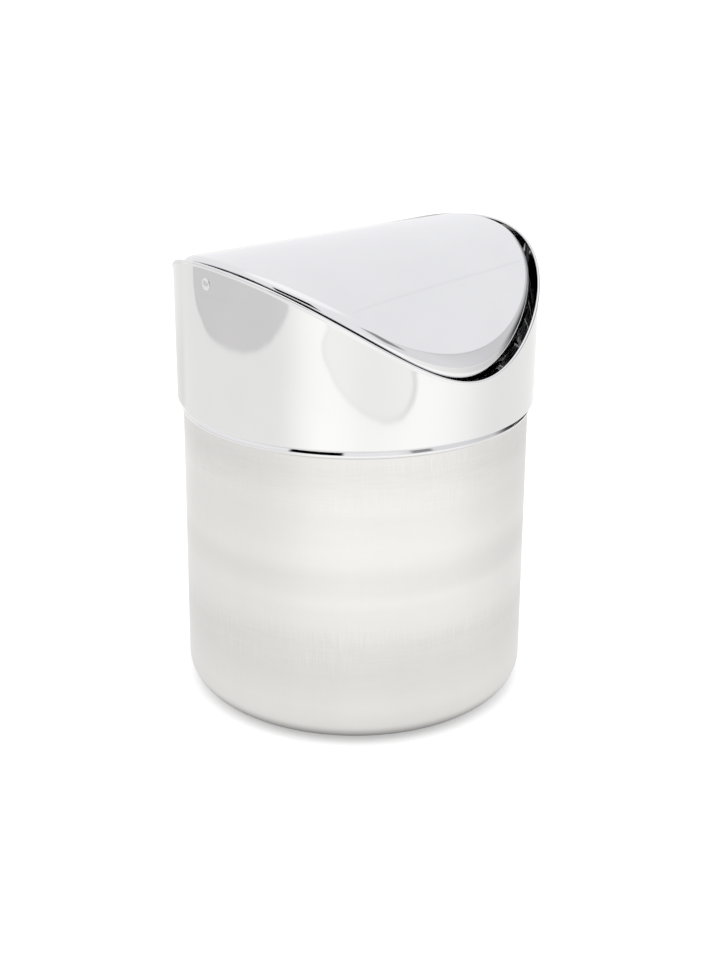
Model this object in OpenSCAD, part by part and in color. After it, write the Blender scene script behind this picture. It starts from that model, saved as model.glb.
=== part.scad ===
// Countertop waste bin with a swing top.
// A satin steel can carries a polished collar whose rim is cut to a wave: high
// at the two pivots, low at the front and the back. An arched lid with a
// turned-down edge hangs on two pins inside the collar and swings both ways.
// A steel rod under the lid brings it back to level.
// Millimetres, +Z up. The origin is the centre of the footprint on the worktop,
// and the pivot axis runs along X.

/* [Can] */
// Outside diameter of the can just above the rounded base
can_base_d = 124.8; // [123:0.2:125.4]
// Outside diameter of the can just under the rolled bead
can_top_d = 123.2; // [122.8:0.2:124]
// Height from the underside of the can to the middle of the rolled bead
bead_z = 107.1; // [90:0.1:125]
// Radius of the rounded edge between the wall and the base
base_round = 9.2; // [5:0.1:10]
// Sheet thickness of the can
can_t = 0.6; // [0.5:0.05:0.8]
// Outside radius of the rolled bead at the mouth
bead_r = 1.2; // [1.1:0.05:1.4]
// How far the rolled bead stands out of the can's wall
bead_proud = 0.8; // [0.5:0.05:0.9]
// Depth of the panel that is pressed up into the base
dish_depth = 2; // [1.5:0.1:3]

/* [Base pad] */
// How far the non-slip pad stands below the steel
pad_proud = 0.4; // [0.3:0.1:1]
// Outside radius of the pad ring
pad_outer_r = 49.5; // [44:0.5:49.5]
// Inside radius of the pad ring
pad_inner_r = 36; // [20:0.5:40]

/* [Collar] */
// Outside diameter of the collar wall
collar_d = 127; // [126.6:0.2:128]
// Sheet thickness of the collar
collar_t = 0.65; // [0.5:0.05:0.8]
// Outside radius of the lower edge where it turns in
hem_r = 1; // [0.9:0.05:1.3]
// Width of the flat lip inside the turned-in edge
lip_w = 1.3; // [0.8:0.05:1.4]
// Gap between the lip and the bead that it rests on
seat_gap = 0.2; // [0.1:0.05:0.4]
// How far the rolled rim stands out of the wall
rim_proud = 0.25; // [0.15:0.05:0.6]
// Height of the rolled rim, measured down from the wave
rim_band = 1.1; // [0.9:0.1:2]

/* [Wave] */
// Height of the rim's two peaks above the underside of the can
wave_peak = 164.3; // [150:0.5:180]
// Radius of the flat crown of the wave
crown_r = 91.5; // [85:0.5:100]
// Half width of the crown, where the tighter shoulders begin
crown_half = 19.75; // [17:0.25:22]
// Radius of the shoulders that fall to the low front and back
shoulder_r = 63.7; // [63.2:0.1:66]

/* [Lid] */
// Plan radius of the lid
lid_r = 60.2; // [59.8:0.1:60.4]
// Sheet thickness of the lid
lid_t = 0.6; // [0.5:0.05:0.8]
// How far the lid's crown stands above the rim's peaks
lid_rise = 0.7; // [0:0.1:1.2]
// Depth of the lid's turned-down edge over the pivots
flange_h = 4.3; // [3.5:0.1:4.4]
// Share of that depth measured square to the slope, which deepens the low front and back
flange_k = 2.1; // [0:0.1:2.4]

/* [Pivot] */
// Depth of the pivot axis below the rim's peaks
pivot_drop = 6.3; // [6.2:0.1:8]
// Radius of the pivot pins
pin_r = 1.5; // [1.25:0.05:1.6]
// Radial running clearance between a pin and its bush
pin_clear = 0.05; // [0.03:0.01:0.08]
// Radius of the domed pin head outside the collar
head_r = 2.25; // [2:0.05:2.6]
// Height of the domed pin head
head_h = 0.7; // [0.4:0.05:0.9]

/* [Balance rod] */
// Radius of the rod
rod_r = 3.5; // [3:0.1:4]
// Distance of the rod below the pivot axis
rod_drop = 10.6; // [10:0.1:12]
// Radius of the spigots that are riveted over in the ears
spigot_r = 2; // [1.8:0.1:2.2]

/* [Hidden] */

eps = 0.01;
far = 80;                                  // half length of a cutting block
z0 = pad_proud;                            // underside of the can
peak_z = z0 + wave_peak;                   // rim's peaks
pivot_z = peak_z - pivot_drop;             // pivot axis
rod_z = pivot_z - rod_drop;                // balance rod's axis
collar_r = collar_d / 2;
collar_ri = collar_r - collar_t;

// The wave is a crown arc with a tighter arc tangent to it on each side.
crown_a = asin(crown_half / crown_r);
join_z = peak_z - crown_r * (1 - cos(crown_a));
shoulder_c = crown_half - shoulder_r * sin(crown_a);
shoulder_z = join_z - shoulder_r * cos(crown_a);

// Can
can_r = can_base_d / 2;
can_rt = can_top_d / 2;
round_c = can_r - base_round;              // centre of the rounded base edge
mouth_z = z0 + bead_z;                     // middle of the rolled bead
bead_c = can_rt + bead_proud - bead_r;     // centre of the rolled bead
dish_r = pad_outer_r + 0.5;

// Collar's lower edge
collar_z = mouth_z + bead_r + seat_gap;    // underside of the lip
hem_c = collar_r - hem_r;                  // centre of the turned-in edge

// Seat ring
ring_t = 0.6;
plug_r = bead_c - bead_r - 0.3;            // clears the bead inside the mouth
shelf_z = collar_z + collar_t;              // the shelf lies on the lip
ring_top = shelf_z + 11.5;
plug_bottom = mouth_z - 7.5;

// Hinge stack along the pivot axis, from the collar inwards
ear_t = 1;
ear_out = sqrt(pow(lid_r - lid_t, 2) - 42.25) - 0.05;  // outer face of an ear
ear_w = 6.5;                               // half width of an ear
spacer_r = 2.3;
spacer_out = sqrt(collar_ri * collar_ri - spacer_r * spacer_r) - 0.05;
spacer_in = ear_out + 0.25;
bush_r = 2.3;                              // body of the bush in the ear
bush_flange = 0.7;
retainer_out = ear_out - ear_t - bush_flange - 0.25;
retainer_t = 0.5;
pin_end = retainer_out - retainer_t - 0.8;

// Area under the wave in the YZ plane: grown by g along its normal, raised by dz
module wave_area(g = 0, dz = 0, low = 100) {
    s1 = (crown_r + g) * sin(crown_a);
    translate([0, dz]) {
        intersection() {
            translate([0, peak_z - crown_r]) circle(r = crown_r + g, $fn = 360);
            translate([-s1, low]) square([2 * s1, far]);
        }
        for (m = [-1, 1]) intersection() {
            translate([m * shoulder_c, shoulder_z])
                circle(r = shoulder_r + g, $fn = 360);
            translate([m > 0 ? s1 : -s1 - far, low]) square([far, far]);
        }
    }
}

module wave_block(g = 0, dz = 0, low = 100)
    rotate([90, 0, 90]) linear_extrude(height = 2 * far, center = true)
        wave_area(g, dz, low);

// A round bar along X from x0 to x1
module bar(r, x0, x1)
    translate([x0, 0, 0]) rotate([0, 90, 0]) cylinder(r = r, h = x1 - x0, $fn = 96);

// Filled half section of the can, shrunk by t
module can_section(t) {
    polygon([[0, z0 + t], [round_c, z0 + t], [round_c, z0 + base_round],
             [can_r - t, z0 + base_round], [can_rt - t, mouth_z - 0.7],
             [0, mouth_z - 0.7]]);
    intersection() {
        translate([round_c, z0 + base_round]) circle(r = base_round - t, $fn = 180);
        translate([round_c, z0]) square([base_round, base_round]);
    }
}

// Drawn can with a rounded base edge, a pressed-up panel and a rolled mouth
module can_body() color("silver") rotate_extrude($fn = 240) {
    difference() {
        union() {
            difference() {
                can_section(0);
                difference() {
                    can_section(can_t);
                    translate([0, z0]) square([dish_r + can_t, dish_depth + can_t]);
                }
                translate([0, mouth_z - 0.7 - eps]) square([can_rt - can_t, 1]);
            }
            // rolled bead, open on its inner lower side
            difference() {
                translate([bead_c, mouth_z]) circle(r = bead_r, $fn = 72);
                translate([bead_c, mouth_z]) circle(r = bead_r - can_t, $fn = 72);
                translate([bead_c, mouth_z]) rotate(205)
                    translate([0, -0.25]) square([2 * bead_r, 0.5]);
            }
        }
        translate([-eps, z0 - eps]) square([dish_r + eps, dish_depth + eps]);
    }
}

// Soft ring in the pressed-up panel, a little proud of the steel
module base_pad() color("dimgray") rotate_extrude($fn = 180)
    translate([pad_inner_r, 0])
        square([pad_outer_r - pad_inner_r, dish_depth + pad_proud]);

// Section of the collar wall with its turned-in lower edge and lip
module collar_section() {
    translate([collar_ri, collar_z + hem_r]) square([collar_t, far]);
    translate([hem_c, collar_z + hem_r]) intersection() {
        difference() {
            circle(r = hem_r, $fn = 96);
            circle(r = hem_r - collar_t, $fn = 96);
        }
        translate([0, -hem_r]) square(hem_r);
    }
    translate([hem_c - lip_w, collar_z]) square([lip_w, collar_t]);
}

// Polished collar: wave rim with a rolled edge, turned-in lower edge, pin holes
module collar_shell() color("gainsboro") difference() {
    union() {
        intersection() {
            rotate_extrude($fn = 240) collar_section();
            wave_block();
        }
        intersection() {
            difference() {
                translate([0, 0, 120])
                    cylinder(r = collar_r + rim_proud, h = 60, $fn = 240);
                translate([0, 0, 119])
                    cylinder(r = collar_r - collar_t / 2, h = 62, $fn = 240);
            }
            difference() {
                wave_block();
                wave_block(dz = -rim_band, low = 98);
            }
        }
    }
    translate([0, 0, pivot_z]) bar(pin_r, -far, far);
}

// Ring welded inside the collar: its skirt drops into the mouth of the can
module seat_ring() color("lightgray") rotate_extrude($fn = 240)
    polygon([[collar_ri, ring_top], [collar_ri - ring_t, ring_top],
             [collar_ri - ring_t, shelf_z + ring_t], [plug_r - ring_t, shelf_z + ring_t],
             [plug_r - ring_t, plug_bottom + 2], [plug_r - ring_t - 0.6, plug_bottom],
             [plug_r - 0.6, plug_bottom], [plug_r, plug_bottom + 2],
             [plug_r, shelf_z], [hem_c, shelf_z], [collar_ri, shelf_z + 0.4]]);

// Pin with a domed head outside the collar, made along +X
module pivot_pin() {
    dome = (head_r * head_r + head_h * head_h) / (2 * head_h);
    translate([0, 0, pivot_z]) rotate([0, 90, 0]) rotate_extrude($fn = 96) {
        translate([0, pin_end]) square([pin_r, collar_r - pin_end + eps]);
        intersection() {
            translate([0, collar_r + head_h - dome]) circle(r = dome, $fn = 180);
            translate([0, collar_r]) square([head_r, head_h]);
        }
    }
}
module pivot_pin_left() color("silver") mirror([1, 0, 0]) pivot_pin();
module pivot_pin_right() color("silver") pivot_pin();

// Sleeve on the pin that keeps the ear off the collar wall
module spacer() translate([0, 0, pivot_z]) difference() {
    bar(spacer_r, spacer_in, spacer_out);
    bar(pin_r, 0, far);
}
module spacer_left() color("whitesmoke") mirror([1, 0, 0]) spacer();
module spacer_right() color("whitesmoke") spacer();

// Push-on washer that keeps the ear on the pin
module retainer() translate([0, 0, pivot_z]) difference() {
    bar(3, retainer_out - retainer_t, retainer_out);
    bar(pin_r, 0, far);
}
module retainer_left() color("slategray") mirror([1, 0, 0]) retainer();
module retainer_right() color("slategray") retainer();

// Arched lid with a turned-down edge
module lid_shell() color("gainsboro") difference() {
    intersection() {
        translate([0, 0, 110]) cylinder(r = lid_r, h = 70, $fn = 240);
        wave_block(dz = lid_rise, low = 104);
    }
    intersection() {
        translate([0, 0, 90]) cylinder(r = lid_r - lid_t, h = 100, $fn = 240);
        wave_block(g = -lid_t, dz = lid_rise, low = 102);
    }
    wave_block(g = -flange_k, dz = lid_rise - flange_h + flange_k, low = 100);
}

// Ear under one end of the lid: a welded tab, the pivot hole and the rod hole
module ear() difference() {
    intersection() {
        translate([0, 0, 120]) cylinder(r = lid_r - lid_t, h = 60, $fn = 240);
        wave_block(g = -lid_t, dz = lid_rise);
        union() {
            translate([ear_out - ear_t, 0, 0]) rotate([90, 0, 90])
                linear_extrude(height = ear_t) {
                    translate([-ear_w, rod_z]) square([2 * ear_w, 30]);
                    translate([0, rod_z]) circle(r = ear_w, $fn = 96);
                }
            difference() {
                translate([ear_out - 12, -ear_w, peak_z - 10])
                    cube([12, 2 * ear_w, 20]);
                wave_block(g = -lid_t - ear_t, dz = lid_rise, low = 98);
            }
        }
    }
    translate([0, 0, pivot_z]) bar(bush_r, 0, far);
    translate([0, 0, rod_z]) bar(spigot_r, 0, far);
}
module ear_left() color("silver") mirror([1, 0, 0]) ear();
module ear_right() color("silver") ear();

// Flanged bush pressed into the ear, running on the pin
module bush() translate([0, 0, pivot_z]) difference() {
    union() {
        bar(bush_r, ear_out - ear_t - eps, ear_out);
        bar(3.4, ear_out - ear_t - bush_flange, ear_out - ear_t);
    }
    bar(pin_r + pin_clear, 0, far);
}
module bush_left() color("ivory") mirror([1, 0, 0]) bush();
module bush_right() color("ivory") bush();

// Rod between the ears, its spigots riveted over outside them
module balance_rod() color("darkgray") translate([0, 0, rod_z]) {
    bar(rod_r, -(ear_out - ear_t), ear_out - ear_t);
    bar(spigot_r, -ear_out - eps, ear_out + eps);
    for (m = [0, 1]) mirror([m, 0, 0]) bar(3.2, ear_out, ear_out + 0.9);
}

can_body();
base_pad();
collar_shell();
seat_ring();
pivot_pin_left();
pivot_pin_right();
spacer_left();
spacer_right();
retainer_left();
retainer_right();
lid_shell();
ear_left();
ear_right();
bush_left();
bush_right();
balance_rod();
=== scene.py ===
import math

import bmesh
import bpy
import numpy as np
from mathutils import Matrix, Vector


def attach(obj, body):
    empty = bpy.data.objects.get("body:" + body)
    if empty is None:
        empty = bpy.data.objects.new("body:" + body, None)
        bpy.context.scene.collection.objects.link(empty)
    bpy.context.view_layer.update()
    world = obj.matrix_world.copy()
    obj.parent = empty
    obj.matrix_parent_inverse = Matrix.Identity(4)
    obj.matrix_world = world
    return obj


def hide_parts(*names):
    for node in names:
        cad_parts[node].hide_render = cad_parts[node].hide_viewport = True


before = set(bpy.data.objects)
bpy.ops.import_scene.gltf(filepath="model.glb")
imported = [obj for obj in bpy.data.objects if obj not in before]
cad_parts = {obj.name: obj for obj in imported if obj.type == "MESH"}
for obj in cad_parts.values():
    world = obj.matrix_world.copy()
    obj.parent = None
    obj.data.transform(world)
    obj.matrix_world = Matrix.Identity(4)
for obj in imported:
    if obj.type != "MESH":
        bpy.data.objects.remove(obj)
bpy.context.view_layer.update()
MM = 0.001

# ---------------------------------------------------------------- dimensions
# Millimetres, the same as the construction model.
PEAK_Z = 164.7            # rim's peaks, over the two pivots
PIVOT_Z = 158.4
ROD_Z = 147.8
CROWN_R, CROWN_HALF = 91.5, 19.75
SHOULDER_R, SHOULDER_C, SHOULDER_Z = 63.7, 6.0, 100.34
COLLAR_R, COLLAR_RI = 63.5, 62.85
LID_R, LID_T, LID_RISE, FLANGE, FLANGE_K = 60.2, 0.6, 0.7, 4.3, 2.1
TUCK = 0.1                # how far the lower edge of the lid's flange is tucked in
EAR_OUT = 59.195


def wave(y, g=0.0):
    """Height of the rim's wave at a distance y from the pivot axis, or of the curve
    g above it, square to the slope."""
    s = np.abs(np.asarray(y, float))
    crown = PEAK_Z - CROWN_R + np.sqrt(np.maximum((CROWN_R + g) ** 2 - s ** 2, 1.0))
    side = SHOULDER_Z + np.sqrt(np.maximum((SHOULDER_R + g) ** 2 - (s - SHOULDER_C) ** 2, 1.0))
    return np.where(s < CROWN_HALF * (1 + g / CROWN_R), crown, side)


def lid_edge(y):
    """Height of the lower edge of the lid's flange, deeper at the front and the back."""
    return float(wave(y, -FLANGE_K)) + LID_RISE - FLANGE + FLANGE_K


# ---------------------------------------------------------------- mesh tools
def link_mesh(name, verts, faces, sharp=35.0):
    """A smooth-shaded object from points in millimetres, its faces turned outwards."""
    me = bpy.data.meshes.new(name)
    me.from_pydata([tuple(MM * c for c in v) for v in verts], [], faces)
    bm = bmesh.new()
    bm.from_mesh(me)
    bmesh.ops.remove_doubles(bm, verts=bm.verts, dist=2e-6)
    bmesh.ops.dissolve_degenerate(bm, edges=bm.edges, dist=1e-7)
    bmesh.ops.recalc_face_normals(bm, faces=bm.faces)
    bm.to_mesh(me)
    bm.free()
    for p in me.polygons:
        p.use_smooth = True
    me.set_sharp_from_angle(angle=math.radians(sharp))
    ob = bpy.data.objects.new(name, me)
    bpy.context.scene.collection.objects.link(ob)
    return ob


def skin(name, rows, sharp=35.0):
    """rows[i][j] is a point; i runs round and closes, j runs along a closed section."""
    n, k = len(rows), len(rows[0])
    verts = [p for row in rows for p in row]
    faces = []
    for i in range(n):
        a, b = i * k, ((i + 1) % n) * k
        for j in range(k):
            jn = (j + 1) % k
            faces.append((a + j, b + j, b + jn, a + jn))
    return link_mesh(name, verts, faces, sharp)


def revolve(name, section, segs=256, sharp=35.0):
    """A closed (r, z) section turned about Z."""
    rows = []
    for i in range(segs):
        a = 2 * math.pi * i / segs
        c, s = math.cos(a), math.sin(a)
        rows.append([(r * c, r * s, z) for r, z in section])
    return skin(name, rows, sharp)


def turned(name, section, side, height, segs=96, sharp=35.0, inner=None):
    """A closed (r, x) section turned about the line along X at this height.
    side is 1 or -1. inner(a) can give the least radius at angle a."""
    rows = []
    for i in range(segs):
        a = 2 * math.pi * i / segs
        c, s = math.cos(a), math.sin(a)
        low = inner(a) if inner else 0.0
        rows.append([(side * x, max(r, low) * c, height + max(r, low) * s) for r, x in section])
    return skin(name, rows, sharp)


def arc(cx, cy, r, a0, a1, n):
    """n + 1 points of an arc, angles in degrees."""
    return [(cx + r * math.cos(math.radians(a0 + (a1 - a0) * i / n)),
             cy + r * math.sin(math.radians(a0 + (a1 - a0) * i / n))) for i in range(n + 1)]


def along(p, q, n):
    """Points from p to q, p left out."""
    return [(p[0] + (q[0] - p[0]) * i / n, p[1] + (q[1] - p[1]) * i / n) for i in range(1, n + 1)]


def plate(name, outline, holes, x0, thick, edge=0.1):
    """A flat sheet that stands in the YZ plane from x0, thick along X, with round holes
    and softened edges. outline is a list of (y, z)."""
    cu = bpy.data.curves.new(name, "CURVE")
    cu.dimensions = "2D"
    cu.fill_mode = "BOTH"
    cu.extrude = (thick / 2 - edge) * MM
    cu.bevel_depth = edge * MM
    cu.bevel_resolution = 2
    cu.offset = -edge * MM
    loops = [outline] + [arc(hy, hz, hr, 0, 360 - 7.5, 47) for hy, hz, hr in holes]
    for loop in loops:
        sp = cu.splines.new("POLY")
        sp.points.add(len(loop) - 1)
        for pt, (u, v) in zip(sp.points, loop):
            pt.co = (u * MM, v * MM, 0, 1)
        sp.use_cyclic_u = True
    ob = bpy.data.objects.new(name + "_curve", cu)
    bpy.context.scene.collection.objects.link(ob)
    bpy.context.view_layer.update()
    dg = bpy.context.evaluated_depsgraph_get()
    me = bpy.data.meshes.new_from_object(ob.evaluated_get(dg))
    bpy.data.objects.remove(ob)
    # curve x, y, z -> world y, z, x
    me.transform(Matrix(((0, 0, 1, (x0 + thick / 2) * MM), (1, 0, 0, 0), (0, 1, 0, 0), (0, 0, 0, 1))))
    return me


def joined(name, meshes, mirror=False, sharp=35.0):
    """One object from several meshes, mirrored in X if asked."""
    bm = bmesh.new()
    for me in meshes:
        bm.from_mesh(me)
    bmesh.ops.remove_doubles(bm, verts=bm.verts, dist=2e-6)
    if mirror:
        bmesh.ops.scale(bm, vec=(-1, 1, 1), verts=bm.verts)
    bmesh.ops.recalc_face_normals(bm, faces=bm.faces)
    me = bpy.data.meshes.new(name)
    bm.to_mesh(me)
    bm.free()
    for p in me.polygons:
        p.use_smooth = True
    me.set_sharp_from_angle(angle=math.radians(sharp))
    ob = bpy.data.objects.new(name, me)
    bpy.context.scene.collection.objects.link(ob)
    return ob


# ---------------------------------------------------------------- node tools
class Tree:
    def __init__(self, tree):
        self.t = tree
        tree.nodes.clear()

    def new(self, kind, **props):
        n = self.t.nodes.new(kind)
        for k, v in props.items():
            setattr(n, k, v)
        return n

    def put(self, socket, value):
        if isinstance(value, bpy.types.NodeSocket):
            self.t.links.new(value, socket)
        elif value is not None:
            socket.default_value = value

    def math(self, op, a, b=None, c=None, clamp=False):
        n = self.new("ShaderNodeMath", operation=op, use_clamp=clamp)
        for s, v in zip(n.inputs, (a, b, c)):
            self.put(s, v)
        return n.outputs[0]

    def coords(self, kind="Object"):
        return self.new("ShaderNodeTexCoord").outputs[kind]

    def scaled(self, vector, scale, move=(0, 0, 0)):
        n = self.new("ShaderNodeMapping")
        self.put(n.inputs["Vector"], vector)
        n.inputs["Scale"].default_value = scale
        n.inputs["Location"].default_value = move
        return n.outputs[0]

    def noise(self, vector, scale=1.0, detail=2.0, rough=0.5, distort=0.0):
        n = self.new("ShaderNodeTexNoise", noise_dimensions="3D")
        self.put(n.inputs["Vector"], vector)
        n.inputs["Scale"].default_value = scale
        n.inputs["Detail"].default_value = detail
        n.inputs["Roughness"].default_value = rough
        n.inputs["Distortion"].default_value = distort
        return n.outputs["Fac"]

    def ramp(self, value, lo, hi, to_lo=0.0, to_hi=1.0, soft=False):
        n = self.new("ShaderNodeMapRange", interpolation_type="SMOOTHSTEP" if soft else "LINEAR")
        self.put(n.inputs["Value"], value)
        for k, v in (("From Min", lo), ("From Max", hi), ("To Min", to_lo), ("To Max", to_hi)):
            self.put(n.inputs[k], v)
        return n.outputs["Result"]

    def mix(self, fac, a, b):
        n = self.new("ShaderNodeMix", data_type="RGBA")
        self.put(n.inputs["Factor"], fac)
        self.put(n.inputs["A"], a)
        self.put(n.inputs["B"], b)
        for s in n.inputs:
            if s.type == "RGBA" and s.name == "A":
                self.put(s, a)
            if s.type == "RGBA" and s.name == "B":
                self.put(s, b)
        return [o for o in n.outputs if o.type == "RGBA"][0]

    def bump(self, height, strength, distance, normal=None):
        n = self.new("ShaderNodeBump")
        n.inputs["Strength"].default_value = strength
        n.inputs["Distance"].default_value = distance
        self.put(n.inputs["Height"], height)
        if normal is not None:
            self.put(n.inputs["Normal"], normal)
        return n.outputs[0]

    def split(self, vector):
        n = self.new("ShaderNodeSeparateXYZ")
        self.put(n.inputs[0], vector)
        return n.outputs


def rgb(r, g, b):
    return (r, g, b, 1.0)


def material(name):
    m = bpy.data.materials.new(name)
    m.use_nodes = True
    t = Tree(m.node_tree)
    out = t.new("ShaderNodeOutputMaterial")
    sh = t.new("ShaderNodeBsdfPrincipled")
    t.t.links.new(sh.outputs[0], out.inputs["Surface"])
    return m, t, sh


# ---------------------------------------------------------------- materials
def satin_steel():
    """Stainless sheet with fine upright brushing, uneven in soft level bands, with painted shade just under the bead.
    """
    m, t, sh = material("satin_steel")
    p = t.coords()
    x, y, z = t.split(p)
    hair = t.noise(t.scaled(p, (5600, 5600, 120)), detail=3.0)
    streak = t.noise(t.scaled(p, (2500, 2500, 110), (3, 7, 1)), detail=3.0, rough=0.6)
    weave = t.noise(t.scaled(p, (90, 90, 2300), (5, 1, 2)), detail=3.0)
    patch = t.ramp(t.noise(t.scaled(p, (34, 34, 60), (1, 4, 9)), detail=2.0), 0.44, 0.62, soft=True)
    # the grain shows most in a belt under the bead and in another low down
    high = t.math("MULTIPLY", t.ramp(z, 0.082, 0.096, soft=True), t.ramp(z, 0.1065, 0.104, soft=True))
    low = t.math("MULTIPLY", t.ramp(z, 0.026, 0.034, soft=True), t.ramp(z, 0.048, 0.040, soft=True))
    belt = t.math("MAXIMUM", high, low)
    band = t.noise(t.scaled(p, (6, 6, 75), (2, 3, 5.3)), detail=2.5, rough=0.45)
    column = t.noise(t.scaled(p, (42, 42, 3), (8, 2, 1)), detail=2.0)
    tone = t.math("MULTIPLY_ADD", t.math("SUBTRACT", band, 0.5), 0.40, 0.5)
    tone = t.math("ADD", tone, t.math("MULTIPLY", t.math("SUBTRACT", column, 0.5), 0.20))
    depth = t.math("MULTIPLY_ADD", t.math("MULTIPLY", belt, patch), 0.60, 0.10)
    tone = t.math("ADD", tone, t.math("MULTIPLY", t.math("SUBTRACT", streak, 0.5), depth))
    tone = t.math("ADD", tone, t.math("MULTIPLY", t.math("SUBTRACT", weave, 0.5), t.math("MULTIPLY_ADD", belt, 0.22, 0.08)))
    # painted shade: darker just under the bead, where the collar above shades the can; darker also in two bands low
    # down
    tone = t.math("SUBTRACT", tone, t.math("MULTIPLY", t.ramp(z, 0.088, 0.101, soft=True), 0.16))
    dip = t.math("MULTIPLY", t.ramp(z, 0.053, 0.059, soft=True), t.ramp(z, 0.069, 0.063, soft=True))
    tone = t.math("SUBTRACT", tone, t.math("MULTIPLY", dip, 0.16))
    dip = t.math("MULTIPLY", t.ramp(z, 0.014, 0.032, 0.4, 1.0, soft=True), t.ramp(z, 0.047, 0.034, soft=True))
    tone = t.math("SUBTRACT", tone, t.math("MULTIPLY", dip, 0.34), clamp=True)
    t.put(sh.inputs["Base Color"], t.mix(tone, rgb(0.66, 0.652, 0.640), rgb(0.90, 0.895, 0.88)))
    sh.inputs["Metallic"].default_value = 1.0
    sh.inputs["Anisotropic"].default_value = 0.55
    tan = t.new("ShaderNodeTangent", direction_type="RADIAL", axis="Z")
    t.t.links.new(tan.outputs[0], sh.inputs["Tangent"])
    t.put(sh.inputs["Roughness"], t.ramp(hair, 0.3, 0.7, 0.31, 0.41))
    height = t.math("ADD", t.math("MULTIPLY", hair, 0.5), t.math("MULTIPLY", streak, 0.5))
    height = t.math("ADD", height, t.math("MULTIPLY", weave, 0.2))
    t.put(sh.inputs["Normal"], t.bump(height, 0.14, 0.00003))
    return m


def polished_steel():
    """Mirror-polished stainless: faint haze, hair-fine wipe marks, a very slight roll."""
    m, t, sh = material("polished_steel")
    p = t.coords()
    haze = t.noise(t.scaled(p, (34, 34, 34)), detail=4.0, rough=0.6)
    wipe = t.noise(t.scaled(p, (900, 260, 2400), (2, 1, 4)), detail=3.0, distort=0.4)
    roll = t.noise(t.scaled(p, (17, 17, 11), (6, 2, 3)), detail=1.0)
    tone = t.ramp(haze, 0.3, 0.7)
    t.put(sh.inputs["Base Color"], t.mix(tone, rgb(0.775, 0.775, 0.780), rgb(0.80, 0.80, 0.803)))
    sh.inputs["Metallic"].default_value = 1.0
    rough = t.math("MULTIPLY_ADD", t.ramp(wipe, 0.52, 0.75), 0.02, t.ramp(haze, 0.35, 0.7, 0.035, 0.055))
    t.put(sh.inputs["Roughness"], rough)
    t.put(sh.inputs["Normal"], t.bump(roll, 0.35, 0.00006))
    return m


def plain_steel():
    """Sheet and rod as they come from the mill: grey, cloudy, not polished."""
    m, t, sh = material("plain_steel")
    p = t.coords()
    cloud = t.noise(t.scaled(p, (90, 90, 90)), detail=5.0, rough=0.6)
    grain = t.noise(t.scaled(p, (900, 5200, 5200)), detail=3.0)
    t.put(sh.inputs["Base Color"], t.mix(t.ramp(cloud, 0.3, 0.7), rgb(0.56, 0.56, 0.56), rgb(0.70, 0.695, 0.685)))
    sh.inputs["Metallic"].default_value = 1.0
    t.put(sh.inputs["Roughness"], t.ramp(grain, 0.3, 0.7, 0.26, 0.40))
    t.put(sh.inputs["Normal"], t.bump(grain, 0.3, 0.00002))
    return m


def spring_steel():
    """Dark hardened sheet with a blue-black oiled skin."""
    m, t, sh = material("spring_steel")
    p = t.coords()
    cloud = t.noise(t.scaled(p, (600, 600, 600)), detail=4.0)
    t.put(sh.inputs["Base Color"], t.mix(t.ramp(cloud, 0.3, 0.7), rgb(0.085, 0.09, 0.11), rgb(0.20, 0.20, 0.22)))
    sh.inputs["Metallic"].default_value = 1.0
    t.put(sh.inputs["Roughness"], t.ramp(cloud, 0.3, 0.7, 0.30, 0.46))
    t.put(sh.inputs["Normal"], t.bump(cloud, 0.25, 0.00003))
    return m


def nylon():
    """Natural moulded nylon, slightly translucent and cloudy."""
    m, t, sh = material("nylon")
    p = t.coords()
    cloud = t.noise(t.scaled(p, (420, 420, 420)), detail=4.0)
    grain = t.noise(t.scaled(p, (3800, 3800, 3800)), detail=2.0)
    t.put(sh.inputs["Base Color"], t.mix(t.ramp(cloud, 0.3, 0.7), rgb(0.70, 0.68, 0.60), rgb(0.80, 0.785, 0.72)))
    t.put(sh.inputs["Roughness"], t.ramp(grain, 0.3, 0.7, 0.36, 0.50))
    sh.inputs["Subsurface Weight"].default_value = 0.15
    sh.inputs["Subsurface Radius"].default_value = (0.0010, 0.0009, 0.0007)
    sh.inputs["Subsurface Scale"].default_value = 1.0
    t.put(sh.inputs["Normal"], t.bump(grain, 0.2, 0.00002))
    return m


def soft_pad():
    """Dark foam rubber with fine closed cells and a little dust."""
    m, t, sh = material("soft_pad")
    p = t.coords()
    cells = t.new("ShaderNodeTexVoronoi", feature="F1")
    t.put(cells.inputs["Vector"], t.scaled(p, (2600, 2600, 2600)))
    cell = cells.outputs["Distance"]
    dust = t.noise(t.scaled(p, (130, 130, 130)), detail=5.0, rough=0.65)
    t.put(sh.inputs["Base Color"], t.mix(t.ramp(dust, 0.45, 0.75), rgb(0.030, 0.030, 0.032), rgb(0.085, 0.083, 0.080)))
    t.put(sh.inputs["Roughness"], t.ramp(dust, 0.3, 0.7, 0.72, 0.9))
    t.put(sh.inputs["Normal"], t.bump(cell, 0.45, 0.00008))
    return m


MATERIALS = {f.__name__: f() for f in (satin_steel, polished_steel, plain_steel, spring_steel, nylon, soft_pad)}


def finish_piece(ob, body, node, slot, *more):
    """Gives a piece its finish and its body, and hides the construction node it stands for."""
    ob.data.materials.clear()
    for s in (slot,) + more:
        ob.data.materials.append(MATERIALS[s])
    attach(ob, body)
    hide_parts(node)
    return ob


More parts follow.
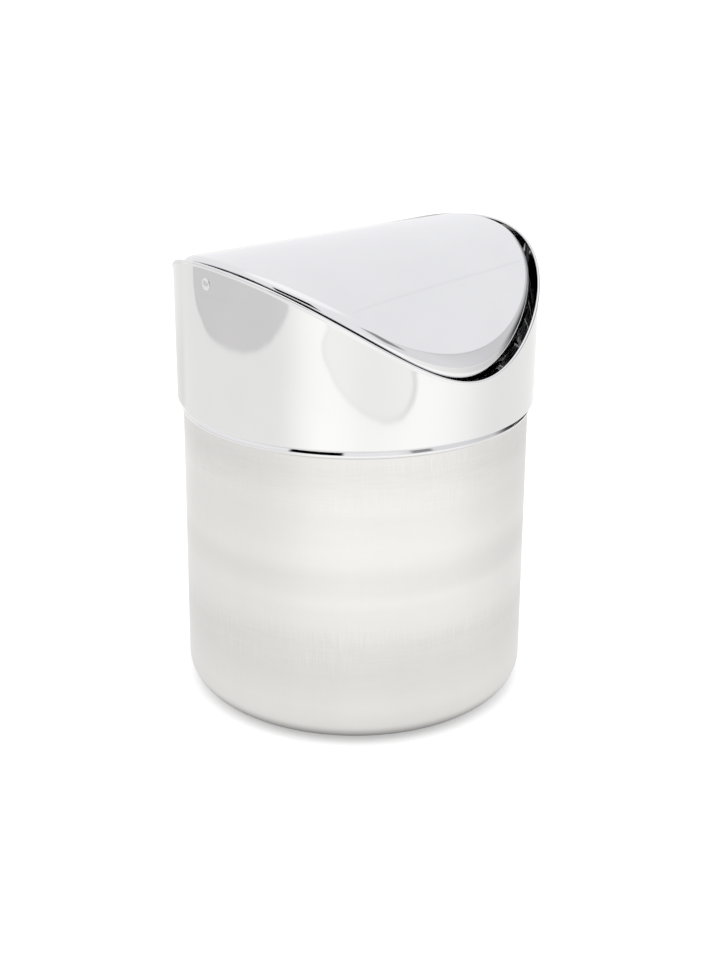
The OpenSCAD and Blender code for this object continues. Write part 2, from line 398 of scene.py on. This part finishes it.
# ---------------------------------------------------------------- can
def make_can():
    bx, bz, br, bi = 61.2, 107.5, 1.2, 0.6        # rolled bead
    s = [(0.0, 2.4), (20.0, 2.4), (40.0, 2.4)]
    s += arc(49.3, 1.7, 0.7, 90, 0, 5)             # pressed-up panel, underside
    s += arc(50.6, 1.0, 0.6, 180, 270, 5)
    s += along((50.6, 0.4), (53.2, 0.4), 2)
    s += arc(53.2, 9.6, 9.2, -90, 0, 32)[1:]       # rounded base edge
    s += along((62.4, 9.6), (61.62, 105.6), 36)
    s += [(61.625, 105.92), (61.66, 106.10), (61.75, 106.26)]
    s += arc(61.37, 107.25, 1.05, -58, 19, 14)     # the bead, flattened on its upper outer face
    s += arc(53.948, 104.694, 8.9, 19, 26, 12)[1:]
    s += arc(61.781, 108.515, 0.185, 26, 90, 6)[1:]
    s += arc(bx + 0.02, 107.50, 1.19, 90, 193, 18)
    s += arc(bx, bz, bi, 180.4, -130.4, 30)        # inside of the roll
    s += arc(bx, bz, br, 217, 254, 6)
    s += [(61.0, 106.2)]
    s += along((61.0, 106.2), (61.8, 9.6), 24)
    s += arc(53.2, 9.6, 8.6, 0, -90, 24)[1:]
    s += along((53.2, 1.0), (51.9, 1.0), 2)
    s += arc(51.9, 1.7, 0.7, -90, -180, 5)[1:]
    s += arc(50.0, 2.3, 0.7, 0, 90, 5)[0:]
    s += [(40.0, 3.0), (20.0, 3.0), (0.0, 3.0)]
    ob = revolve("can_drawn", s, 288)
    finish_piece(ob, "can", "can_body", "satin_steel", "polished_steel")
    for f in ob.data.polygons:
        c = f.center / MM
        if math.hypot(math.hypot(c.x, c.y) - bx, c.z - bz) < 1.42 and c.z > 106.35:
            f.material_index = 1
    return ob


def make_pad():
    s = [(36.0, 2.4), (36.0, 0.55)] + arc(36.4, 0.4, 0.4, 180, 270, 4)
    r = 37.3
    while r < 48.4:                                # moulded ribs underneath
        s += [(r, 0.0), (r + 0.22, 0.28), (r + 0.68, 0.28), (r + 0.9, 0.0)]
        r += 1.9
    s += arc(49.1, 0.4, 0.4, -90, 0, 4) + [(49.5, 0.55), (49.5, 2.4)]
    return finish_piece(revolve("base_pad_moulded", s, 192), "can", "base_pad", "soft_pad")


# ---------------------------------------------------------------- collar
def make_collar():
    mid = (COLLAR_R + COLLAR_RI) / 2
    hx, hz = 62.5, 109.9
    low_out = [(61.35, 108.9)] + along((61.35, 108.9), (hx, 108.9), 2) + arc(hx, hz, 1.0, -90, 0, 9)[1:]
    low_in = arc(hx, hz, 0.35, 0, -90, 5) + [(61.35, 109.55)] + arc(61.35, 109.225, 0.325, 90, 270, 6)[1:-1]
    rim = [(0.325, 1.70), (0.327, 1.45), (0.345, 1.28), (0.40, 1.14), (0.475, 1.02), (0.54, 0.88), (0.572, 0.72),
           (0.575, 0.58)]
    rim += [(0.125 + 0.45 * math.cos(a), 0.45 - 0.45 * math.sin(a)) for a in np.linspace(0, math.pi, 13)]
    rim += [(-0.325, 0.80), (-0.325, 1.70)]
    n, rows = 576, []
    up = np.linspace(0, 1, 30)
    for i in range(n):
        th = 2 * math.pi * i / n
        zc = float(wave(COLLAR_RI * math.sin(th)))
        d = 1e-3
        slope = (float(wave(COLLAR_RI * math.sin(th + d))) - float(wave(COLLAR_RI * math.sin(th - d)))) / (2 * d * mid)
        q = math.hypot(1.0, slope)
        dn_t, dn_z = slope / q, -1.0 / q           # down the wall, square to the rim

        def on(a, b):
            ang = th + b * dn_t / mid
            r = mid + a
            return (r * math.cos(ang), r * math.sin(ang), zc + b * dn_z)

        low_ang = th + 1.7 * dn_t / mid
        c, s = math.cos(low_ang), math.sin(low_ang)
        zt = zc + 1.7 * dn_z
        row = [(r * c, r * s, z) for r, z in low_out]
        row += [(COLLAR_R * c, COLLAR_R * s, hz + (zt - hz) * u) for u in up[1:-1]]
        row += [on(a, b) for a, b in rim]
        row += [(COLLAR_RI * c, COLLAR_RI * s, hz + (zt - hz) * u) for u in up[::-1][1:-1]]
        row += [(r * c, r * s, z) for r, z in low_in]
        rows.append(row)
    ob = skin("collar_polished", rows, 50)
    return finish_piece(ob, "collar", "collar_shell", "polished_steel")


def make_seat_ring():
    ri = COLLAR_RI
    s = arc(ri - 0.3, 120.75, 0.3, 0, 180, 6)
    s += along((ri - 0.6, 120.75), (ri - 0.6, 110.75), 6)
    s += arc(ri - 1.0, 110.55, 0.4, 0, -90, 4)[1:]
    s += [(60.1, 110.15)] + arc(59.7, 109.55, 0.6, 90, 180, 4)[1:]
    s += [(59.1, 104.0), (59.1, 102.0), (58.5, 100.1)] + arc(58.8, 100.1, 0.3, 180, 330, 6)[1:]
    s += [(59.7, 102.0), (59.7, 104.0), (59.7, 109.2)] + [(59.85, 109.5), (60.1, 109.55), (62.1, 109.55)]
    s += [(62.5, 109.62), (62.76, 109.82), (ri, 110.15)]
    return finish_piece(revolve("seat_ring_formed", s, 240), "collar", "seat_ring", "plain_steel")


# ---------------------------------------------------------------- lid
def make_lid():
    n = 480
    outer = []                                     # outer[i][j], point lists per azimuth
    for i in range(n):
        th = 2 * math.pi * i / n
        c, s = math.cos(th), math.sin(th)
        k = min(1.0, max(0.0, (abs(s) - 0.2) / 0.25))
        w = 1.9 + 0.6 * k * k * (3 - 2 * k)        # width of the bend, a little less at the two ends
        r0 = LID_R - w
        row = [(r * c, r * s, float(wave(r * s)) + LID_RISE) for r in np.linspace(0, r0, 44)]
        z0 = row[-1][2]
        d = 0.01
        slope = (float(wave((r0 + d) * s)) - float(wave((r0 - d) * s))) / (2 * d)
        kz = z0 + slope * w                        # corner of the two tangents
        bot = lid_edge(LID_R * s)
        end = max(kz - math.hypot(w, slope * w), bot + 0.5)
        turn = math.pi / 2 + math.atan(slope)      # angle between the tangents
        wt = math.cos(turn / 2)
        for k in range(1, 17):
            u = k / 16
            a, b, g = (1 - u) ** 2, 2 * u * (1 - u) * wt, u * u
            t = a + b + g
            rr = (a * r0 + b * LID_R + g * LID_R) / t
            zz = (a * z0 + b * kz + g * end) / t
            row.append((rr * c, rr * s, zz))
        for u in (0.2, 0.36, 0.52, 0.64, 0.76, 0.88, 1.0):
            zz = end + (bot + 0.22 - end) * u
            rr = LID_R - TUCK * max(0.0, 1 - (zz - bot - 0.22) / 1.7) ** 2
            row.append((rr * c, rr * s, zz))
        outer.append(row)
    P = np.array(outer)
    du = np.roll(P, -1, 0) - np.roll(P, 1, 0)
    dv = np.empty_like(P)
    dv[:, 1:-1] = P[:, 2:] - P[:, :-2]
    dv[:, 0] = P[:, 1] - P[:, 0]
    dv[:, -1] = P[:, -1] - P[:, -2]
    N = np.cross(dv, du)
    N[:, 0] = N[:, 1]
    N /= np.linalg.norm(N, axis=2, keepdims=True)
    if N[0, 5, 2] > 0:
        N = -N                                     # N points to the inside
    N[:, 0] = (0, 0, -1)
    Q = P + LID_T * N
    rad = np.hypot(Q[..., 0], Q[..., 1])
    rows = []
    for i in range(n):
        th = 2 * math.pi * i / n
        c, s = math.cos(th), math.sin(th)
        bot = lid_edge(LID_R * s)
        row = [tuple(p) for p in P[i]]
        hem = LID_R - TUCK - 0.3
        row += [((hem + 0.3 * math.cos(a)) * c, (hem + 0.3 * math.cos(a)) * s, bot + 0.22 - 0.22 * math.sin(a))
                for a in np.linspace(0, math.pi, 7)[1:-1]]
        row += [tuple(p) for p in Q[i][::-1]]
        rows.append(row)
    k = len(rows[0])
    verts = [p for row in rows for p in row]
    faces = []
    for i in range(n):
        a, b = i * k, ((i + 1) % n) * k
        for j in range(k - 1):
            faces.append((a + j, b + j, b + j + 1, a + j + 1))
    ob = link_mesh("lid_polished", verts, faces, 60)
    return finish_piece(ob, "lid", "lid_shell", "polished_steel")


def make_ear(side):
    """A bent tab: a flange under the lid, and a leg with the pivot and rod holes."""
    x1, t, hw = EAR_OUT, 1.0, 6.5
    top = PEAK_Z + LID_RISE - LID_T                # lid's underside at the ridge
    path = [(x1 - 12.0, 0.0)] + along((x1 - 12.0, 0.0), (x1 - 1.6, 0.0), 5)
    path += arc(x1 - 1.6, -1.6, 1.6, 90, 0, 8)[1:] + along((x1, -1.6), (x1, top * 0 - 3.4), 2)
    inner = [(x1 - 12.0, -t)] + along((x1 - 12.0, -t), (x1 - 1.6, -t), 5)
    inner += arc(x1 - 1.6, -1.6, 0.6, 90, 0, 8)[1:] + along((x1 - t, -1.6), (x1 - t, -3.4), 2)
    ys = [-hw, -hw + 0.12] + list(np.linspace(-hw + 0.6, hw - 0.6, 9)) + [hw - 0.12, hw]
    verts, faces = [], []
    m = len(path)
    for iy, y in enumerate(ys):
        sag = float(wave(y)) - PEAK_Z
        e = 0.12 if iy in (0, len(ys) - 1) else 0.0
        for (x, z), (xi, zi) in zip(path, inner):
            k = min(1.0, max(0.0, (3.4 + z) / 1.8))
            dx, dz = x - xi, z - zi
            verts.append((x - dx * e, y, top + z - dz * e + sag * k))
        for (x, z), (xi, zi) in zip(path, inner):
            k = min(1.0, max(0.0, (3.4 + z) / 1.8))
            dx, dz = x - xi, z - zi
            verts.append((xi + dx * e, y, top + zi + dz * e + sag * k))
    w = 2 * m
    for iy in range(len(ys) - 1):
        a, b = iy * w, (iy + 1) * w
        loop = list(range(m)) + list(range(2 * m - 1, m - 1, -1))
        for q in range(len(loop)):
            u, v = loop[q], loop[(q + 1) % len(loop)]
            faces.append((a + u, a + v, b + v, b + u))
    for base in (0, (len(ys) - 1) * w):
        for q in range(m - 1):
            faces.append((base + q, base + q + 1, base + m + q + 1, base + m + q))
    strip = bpy.data.meshes.new("strip")
    strip.from_pydata([tuple(MM * c for c in v) for v in verts], [], faces)
    outline = [(hw, top - 2.9), (hw, ROD_Z)] + arc(0, ROD_Z, hw, 0, -180, 30)[1:] + [(-hw, top - 2.9)]
    leg = plate("leg", outline, [(0, PIVOT_Z, 2.3), (0, ROD_Z, 2.0)], x1 - t + 0.004, t - 0.008, 0.12)
    name = "ear_left_bent" if side < 0 else "ear_right_bent"
    ob = joined(name, [strip, leg], mirror=side < 0)
    return finish_piece(ob, "lid", "ear_left" if side < 0 else "ear_right", "plain_steel")


def make_rod():
    half = EAR_OUT - 1.0
    e = EAR_OUT
    side = [(2.0, half), (2.0, e), (3.0, e), (3.2, e + 0.12), (3.2, e + 0.35), (3.05, e + 0.62), (2.6, e + 0.80),
            (1.9, e + 0.88), (1.0, e + 0.90), (0.9, e + 0.82), (0.0, e + 0.80)]
    s = [(0.0, -x) if i == len(side) - 1 else (r, -x) for i, (r, x) in reversed(list(enumerate(side)))]
    s += [(3.1, -half), (3.5, -half + 0.4)] + along((3.5, -half + 0.4), (3.5, half - 0.4), 12) + [(3.1, half)]
    s += side
    ob = turned("balance_rod_turned", s, 1, ROD_Z, 64)
    return finish_piece(ob, "lid", "balance_rod", "plain_steel")


def make_pin(side):
    end = 55.945
    x = COLLAR_R
    s = [(0.0, end), (1.1, end), (1.5, end + 0.4)] + along((1.5, end + 0.4), (1.5, x), 8)
    s += [(1.95, x), (2.02, x + 0.03), (2.05, x + 0.10)]
    dome = [(2.05 * math.cos(a), x + 0.10 + 0.46 * math.sin(a)) for a in np.linspace(0, math.pi / 2, 15)]
    s += dome[1:-1] + [(0.0, x + 0.56)]
    name = "pivot_pin_left" if side < 0 else "pivot_pin_right"
    return finish_piece(turned(name + "_domed", s, side, PIVOT_Z, 64), "collar", name, "polished_steel")


def make_spacer(side):
    a, b = EAR_OUT + 0.25, 62.758
    s = [(1.5, a + 0.15), (1.65, a), (2.15, a), (2.3, a + 0.15)] + along((2.3, a + 0.15), (2.3, b - 0.15), 3)
    s += [(2.15, b), (1.65, b), (1.5, b - 0.15)]
    name = "spacer_left" if side < 0 else "spacer_right"
    return finish_piece(turned(name + "_sleeve", s, side, PIVOT_Z, 48), "collar", name, "nylon")


def make_bush(side):
    o, i, f = EAR_OUT, EAR_OUT - 1.0, EAR_OUT - 1.7
    s = [(1.55, f + 0.15), (1.7, f), (3.2, f), (3.4, f + 0.2), (3.4, i), (2.3, i), (2.3, o - 0.12), (2.18, o),
         (1.68, o), (1.55, o - 0.13)]
    name = "bush_left" if side < 0 else "bush_right"
    return finish_piece(turned(name + "_flanged", s, side, PIVOT_Z, 64), "lid", name, "nylon")


def make_retainer(side):
    o = 57.245
    s = [(1.5, o - 0.50), (1.5, o - 0.22), (2.2, o - 0.1), (2.9, o), (3.0, o - 0.08), (3.0, o - 0.34), (2.9, o - 0.38),
         (2.2, o - 0.42)]

    def inner(a):
        k = (a * 6 / (2 * math.pi)) % 1.0
        return 2.05 if k < 0.16 or k > 0.84 else 0.0

    name = "retainer_left" if side < 0 else "retainer_right"
    return finish_piece(turned(name + "_toothed", s, side, PIVOT_Z, 144, inner=inner), "collar", name, "spring_steel")


make_can()
make_pad()
make_collar()
make_seat_ring()
make_lid()
make_rod()
for hand in (-1, 1):
    make_ear(hand)
    make_pin(hand)
    make_spacer(hand)
    make_bush(hand)
    make_retainer(hand)

# ---------------------------------------------------------------- studio
scene = bpy.context.scene
scene.view_settings.view_transform = "Standard"
scene.view_settings.look = "None"
scene.view_settings.exposure = 0.0
scene.view_settings.gamma = 1.0


def make_floor():
    me = bpy.data.meshes.new("floor")
    h = 12.0
    me.from_pydata([(-h, -h, 0), (h, -h, 0), (h, h, 0), (-h, h, 0)], [], [(0, 1, 2, 3)])
    ob = bpy.data.objects.new("floor", me)
    scene.collection.objects.link(ob)
    m, t, sh = material("floor_paper")
    p = t.coords()
    grain = t.noise(t.scaled(p, (60, 60, 60)), detail=4.0)
    t.put(sh.inputs["Base Color"], t.mix(grain, rgb(0.86, 0.858, 0.845), rgb(0.89, 0.888, 0.875)))
    sh.inputs["Roughness"].default_value = 0.9
    sh.inputs["Specular IOR Level"].default_value = 0.0
    sh.inputs["Emission Color"].default_value = rgb(1.0, 1.0, 1.0)
    sh.inputs["Emission Strength"].default_value = 0.33
    me.materials.append(m)
    return ob


make_floor()


def make_table_glow():
    """A sheet of light just over the floor that only reflections see: the bright
    table round the bin, its uneven light, and the two dull shapes on it."""
    n, r = 96, 8.0
    verts = [(0.0, 0.0, 0.0006)] + [(r * math.cos(2 * math.pi * i / n), r * math.sin(2 * math.pi * i / n), 0.0006)
                                    for i in range(n)]
    me = bpy.data.meshes.new("table_glow")
    me.from_pydata(verts, [], [(0, 1 + i, 1 + (i + 1) % n) for i in range(n)])
    ob = bpy.data.objects.new("table_glow", me)
    scene.collection.objects.link(ob)
    ob.visible_camera = ob.visible_diffuse = ob.visible_shadow = False
    ob.visible_transmission = ob.visible_volume_scatter = False
    m = bpy.data.materials.new("table_glow")
    m.use_nodes = True
    m.cycles.emission_sampling = "NONE"
    t = Tree(m.node_tree)
    out = t.new("ShaderNodeOutputMaterial")
    em = t.new("ShaderNodeEmission")
    t.t.links.new(em.outputs[0], out.inputs["Surface"])
    p = t.coords()
    x, y, z = t.split(p)
    dist = t.math("MULTIPLY", t.math("SQRT", t.math("ADD", t.math("MULTIPLY", x, x), t.math("MULTIPLY", y, y))), 1000.0)
    az = t.math("MULTIPLY", t.math("ARCTAN2", y, x), 180 / math.pi)
    wob = t.math("SUBTRACT", t.noise(t.scaled(p, (7, 7, 7), (3, 1, 0)), detail=2.0), 0.5)

    ring = t.new("ShaderNodeValToRGB")
    ring.color_ramp.interpolation = "B_SPLINE"
    stops = [(-180, 0.975), (-172, 0.99), (-162, 1.13), (-151, 1.23), (-138, 1.22), (-126, 1.16), (-113, 1.16),
             (-97, 1.22), (-80, 1.19), (-67, 1.13), (-52, 1.01), (-36, 0.945), (-2, 0.97), (20, 1.0), (60, 1.02),
             (97, 0.97), (110, 0.955), (150, 0.965), (180, 0.975)]
    els = ring.color_ramp.elements
    while len(els) > 1:
        els.remove(els[-1])
    for k, (deg, v) in enumerate(stops):
        e = els[0] if k == 0 else els.new((deg + 180) / 360)
        e.position = (deg + 180) / 360
        e.color = (v / 1.3, v / 1.3, v / 1.3, 1)
    t.put(ring.inputs[0], t.math("DIVIDE", t.math("ADD", az, 180.0), 360.0))
    level = t.math("MULTIPLY", t.split(ring.outputs[0])[0], 1.3)

    # far side, left: brighter close in, duller farther out
    side = t.math("MULTIPLY", t.ramp(az, 50, 66, soft=True), t.ramp(az, 103, 93, soft=True))
    far = t.ramp(dist, 325, 350, 1.16, 0.88, soft=True)
    far = t.math("MULTIPLY", far, t.ramp(dist, 400, 620, 1.0, 1.08, soft=True))
    level = t.math("MULTIPLY", level, t.math("MULTIPLY_ADD", side, t.math("SUBTRACT", far, 1.0), 1.0))

    # first dull shape, to the left of the bin
    turn = t.math("ADD", az, t.math("MULTIPLY", t.math("LESS_THAN", az, 0.0), 360.0))
    u = t.math("POWER", t.math("ABSOLUTE", t.math("DIVIDE", t.math("SUBTRACT", turn, 153.0), 39.0)), 2.4)
    v = t.math("POWER", t.math("MAXIMUM", t.math("DIVIDE", t.math("SUBTRACT", 720.0, dist), 200.0), 0.0), 2.4)
    rad = t.math("ADD", t.math("ADD", u, v), t.math("MULTIPLY", wob, 0.25))
    one = t.ramp(rad, 0.95, 1.09, 1.0, 0.0, soft=True)
    edge = t.math("MULTIPLY", t.ramp(rad, 0.80, 0.93, soft=True), t.ramp(rad, 1.05, 0.95, soft=True))
    line = t.math("MAXIMUM", t.math("SUBTRACT", turn, 155.0), 0.0)
    line = t.math("MULTIPLY_ADD", t.math("MULTIPLY", line, line), 0.1, 641.0)
    seam = t.ramp(t.math("ABSOLUTE", t.math("SUBTRACT", dist, line)), 2.6, 0.5, soft=True)
    seam = t.math("MULTIPLY", seam, t.math("MULTIPLY", t.ramp(turn, 118, 130, soft=True), t.ramp(turn, 182, 176, soft=True)))
    dull = t.math("SUBTRACT", 0.787, t.math("MULTIPLY", edge, 0.02))
    dull = t.math("SUBTRACT", dull, t.math("MULTIPLY", seam, 0.055))
    level = t.math("MULTIPLY", level, t.math("MULTIPLY_ADD", one, t.math("SUBTRACT", dull, 1.0), 1.0))

    # second, fainter shape, under the camera
    v = t.math("DIVIDE", t.math("SUBTRACT", dist, 512.0), 110.0)
    u = t.math("ADD", t.math("DIVIDE", t.math("ADD", az, 122.0), 25.5), t.math("MULTIPLY", v, 0.42))
    rad = t.math("SQRT", t.math("ADD", t.math("MULTIPLY", u, u), t.math("MULTIPLY", v, v)))
    rad = t.math("ADD", rad, t.math("MULTIPLY", wob, 0.22))
    two = t.ramp(rad, 0.93, 1.04, 1.0, 0.0, soft=True)
    edge = t.math("MULTIPLY", t.ramp(rad, 0.86, 0.96, soft=True), t.ramp(rad, 1.05, 0.97, soft=True))
    edge = t.math("MULTIPLY", edge, t.ramp(u, -0.5, 0.75, 0.25, 1.0, soft=True))
    pale = t.math("MULTIPLY_ADD", two, -0.095, 1.0)
    pale = t.math("SUBTRACT", pale, t.math("MULTIPLY", edge, 0.15))
    level = t.math("MULTIPLY", level, pale)

    # the table's far end, to the right, runs out into the dull screen
    back = t.math("MULTIPLY", t.ramp(az, -100, -90, soft=True), t.ramp(az, 30, 20, soft=True))
    back = t.math("MULTIPLY", back, t.ramp(az, -60, -38, 0.12, 0.22))
    deep = t.math("MULTIPLY", t.ramp(az, -43, -16, soft=True), t.ramp(az, 50, 44, soft=True))
    back = t.math("MAXIMUM", back, t.math("MULTIPLY", deep, 0.95))
    back = t.math("MULTIPLY", back, t.ramp(dist, 560, 700, soft=True))
    level = t.math("MULTIPLY", level, t.math("SUBTRACT", 1.0, back))

    # even close in, and in the bin's own shade where it touches the table
    near = t.ramp(dist, 80, 240, 1.0, 0.0)
    level = t.math("MULTIPLY_ADD", near, t.math("SUBTRACT", 1.02, level), level)
    shade = t.math("MULTIPLY", t.ramp(dist, 53, 67, 0.0, 1.0, soft=True), t.ramp(dist, 62, 100, 0.94, 1.0, soft=True))
    level = t.math("MULTIPLY", level, shade)
    t.put(em.inputs["Color"], t.mix(one, rgb(1.0, 0.995, 0.985), rgb(1.0, 0.985, 0.985)))
    t.put(em.inputs["Strength"], level)
    me.materials.append(m)
    return ob


make_table_glow()


def make_world():
    w = bpy.data.worlds.new("studio")
    scene.world = w
    w.use_nodes = True
    t = Tree(w.node_tree)
    out = t.new("ShaderNodeOutputWorld")
    x, y, z = t.split(t.coords("Generated"))
    el = t.math("MULTIPLY", t.math("ARCSINE", z), 180 / math.pi)
    az = t.math("MULTIPLY", t.math("ARCTAN2", y, x), 180 / math.pi)

    def window(value, lo, hi, soft):
        return t.math("MULTIPLY", t.ramp(value, lo - soft, lo + soft, soft=True), t.ramp(value, hi + soft, hi - soft, soft=True))

    # the open dark room behind the camera, seen through two gaps in the white screens
    dark = t.math("MULTIPLY", window(az, -173, -138, 1.5), window(el, 15, 37, 2))
    dark2 = t.math("MULTIPLY", window(az, -94, -80, 2), window(el, 15, 37, 2))
    gone = t.math("SUBTRACT", 1.0, t.math("MAXIMUM", dark, t.math("MULTIPLY", dark2, 0.62)))
    # lamp overhead, a duller screen to the right, and the joint of two screens
    top = t.ramp(el, 56, 68, 1.0, 1.16, soft=True)
    wall = t.math("MULTIPLY", window(az, -100, 28, 5), t.ramp(el, 31, 29, soft=True))
    wall = t.math("MULTIPLY", wall, t.ramp(az, -60, -38, 0.12, 0.26))
    deep = t.math("MULTIPLY", t.ramp(az, -43, -16, soft=True), t.ramp(az, 36, 24, soft=True))
    deep = t.math("MULTIPLY", deep, t.ramp(el, 31, 6, 0.0, 0.95))
    wall = t.math("MAXIMUM", wall, deep)
    joint = t.math("MULTIPLY", window(az, -100, 28, 5), window(el, 27.5, 29.5, 0.8))
    bend = t.math("MULTIPLY_ADD", az, t.math("MULTIPLY_ADD", az, -0.0319, -0.148), 51.7)
    seam = t.math("ABSOLUTE", t.math("SUBTRACT", el, bend))
    seam = t.math("DIVIDE", seam, t.math("MULTIPLY_ADD", t.math("MAXIMUM", az, 0.0), 0.08, 0.2))
    seam = t.math("MULTIPLY", t.ramp(seam, 1.0, 0.2, soft=True), window(az, -6, 15, 1))
    level = t.math("MULTIPLY", top, gone)
    level = t.math("MULTIPLY", level, t.math("SUBTRACT", 1.0, wall))
    level = t.math("MULTIPLY", level, t.math("MULTIPLY_ADD", joint, -0.07, 1.0))
    level = t.math("MULTIPLY", level, t.math("MULTIPLY_ADD", seam, -0.05, 1.0))
    bg = t.new("ShaderNodeBackground")
    bg.inputs["Color"].default_value = rgb(0.985, 0.985, 1.015)
    t.put(bg.inputs["Strength"], level)
    white = t.new("ShaderNodeBackground")
    white.inputs["Color"].default_value = rgb(1, 1, 1)
    white.inputs["Strength"].default_value = 1.25
    path = t.new("ShaderNodeLightPath")
    mixer = t.new("ShaderNodeMixShader")
    t.t.links.new(path.outputs["Is Camera Ray"], mixer.inputs[0])
    t.t.links.new(bg.outputs[0], mixer.inputs[1])
    t.t.links.new(white.outputs[0], mixer.inputs[2])
    t.t.links.new(mixer.outputs[0], out.inputs["Surface"])


make_world()


def make_lamp(name, place, target, size, watts):
    la = bpy.data.lights.new(name, "AREA")
    la.shape = "RECTANGLE"
    la.size, la.size_y = size
    la.energy = watts
    ob = bpy.data.objects.new(name, la)
    ob.location = place
    ob.rotation_euler = (Vector(target) - Vector(place)).to_track_quat("-Z", "Y").to_euler()
    ob.visible_glossy = False
    scene.collection.objects.link(ob)
    return ob


make_lamp("soft_top", (-0.15, -0.25, 1.5), (0, 0, 0.1), (1.1, 1.1), 4.0)


def make_camera():
    fwd = Vector((0.604465, 0.709158, -0.362927))
    right = Vector((0.761049, -0.648695, 0.0))
    up = Vector((0.235429, 0.276205, 0.931817))
    roll = -0.0075496
    r2 = right * math.cos(roll) - up * math.sin(roll)
    u2 = right * math.sin(roll) + up * math.cos(roll)
    cam = bpy.data.cameras.new("camera")
    cam.sensor_fit = "AUTO"
    cam.sensor_width = 36.0
    cam.lens = 56.970
    cam.clip_start, cam.clip_end = 0.01, 100.0
    ob = bpy.data.objects.new("camera", cam)
    m = Matrix((r2, u2, -fwd)).transposed().to_4x4()
    m.translation = Vector((-0.336026, -0.396950, 0.277654))
    ob.matrix_world = m
    scene.collection.objects.link(ob)
    scene.camera = ob


make_camera()
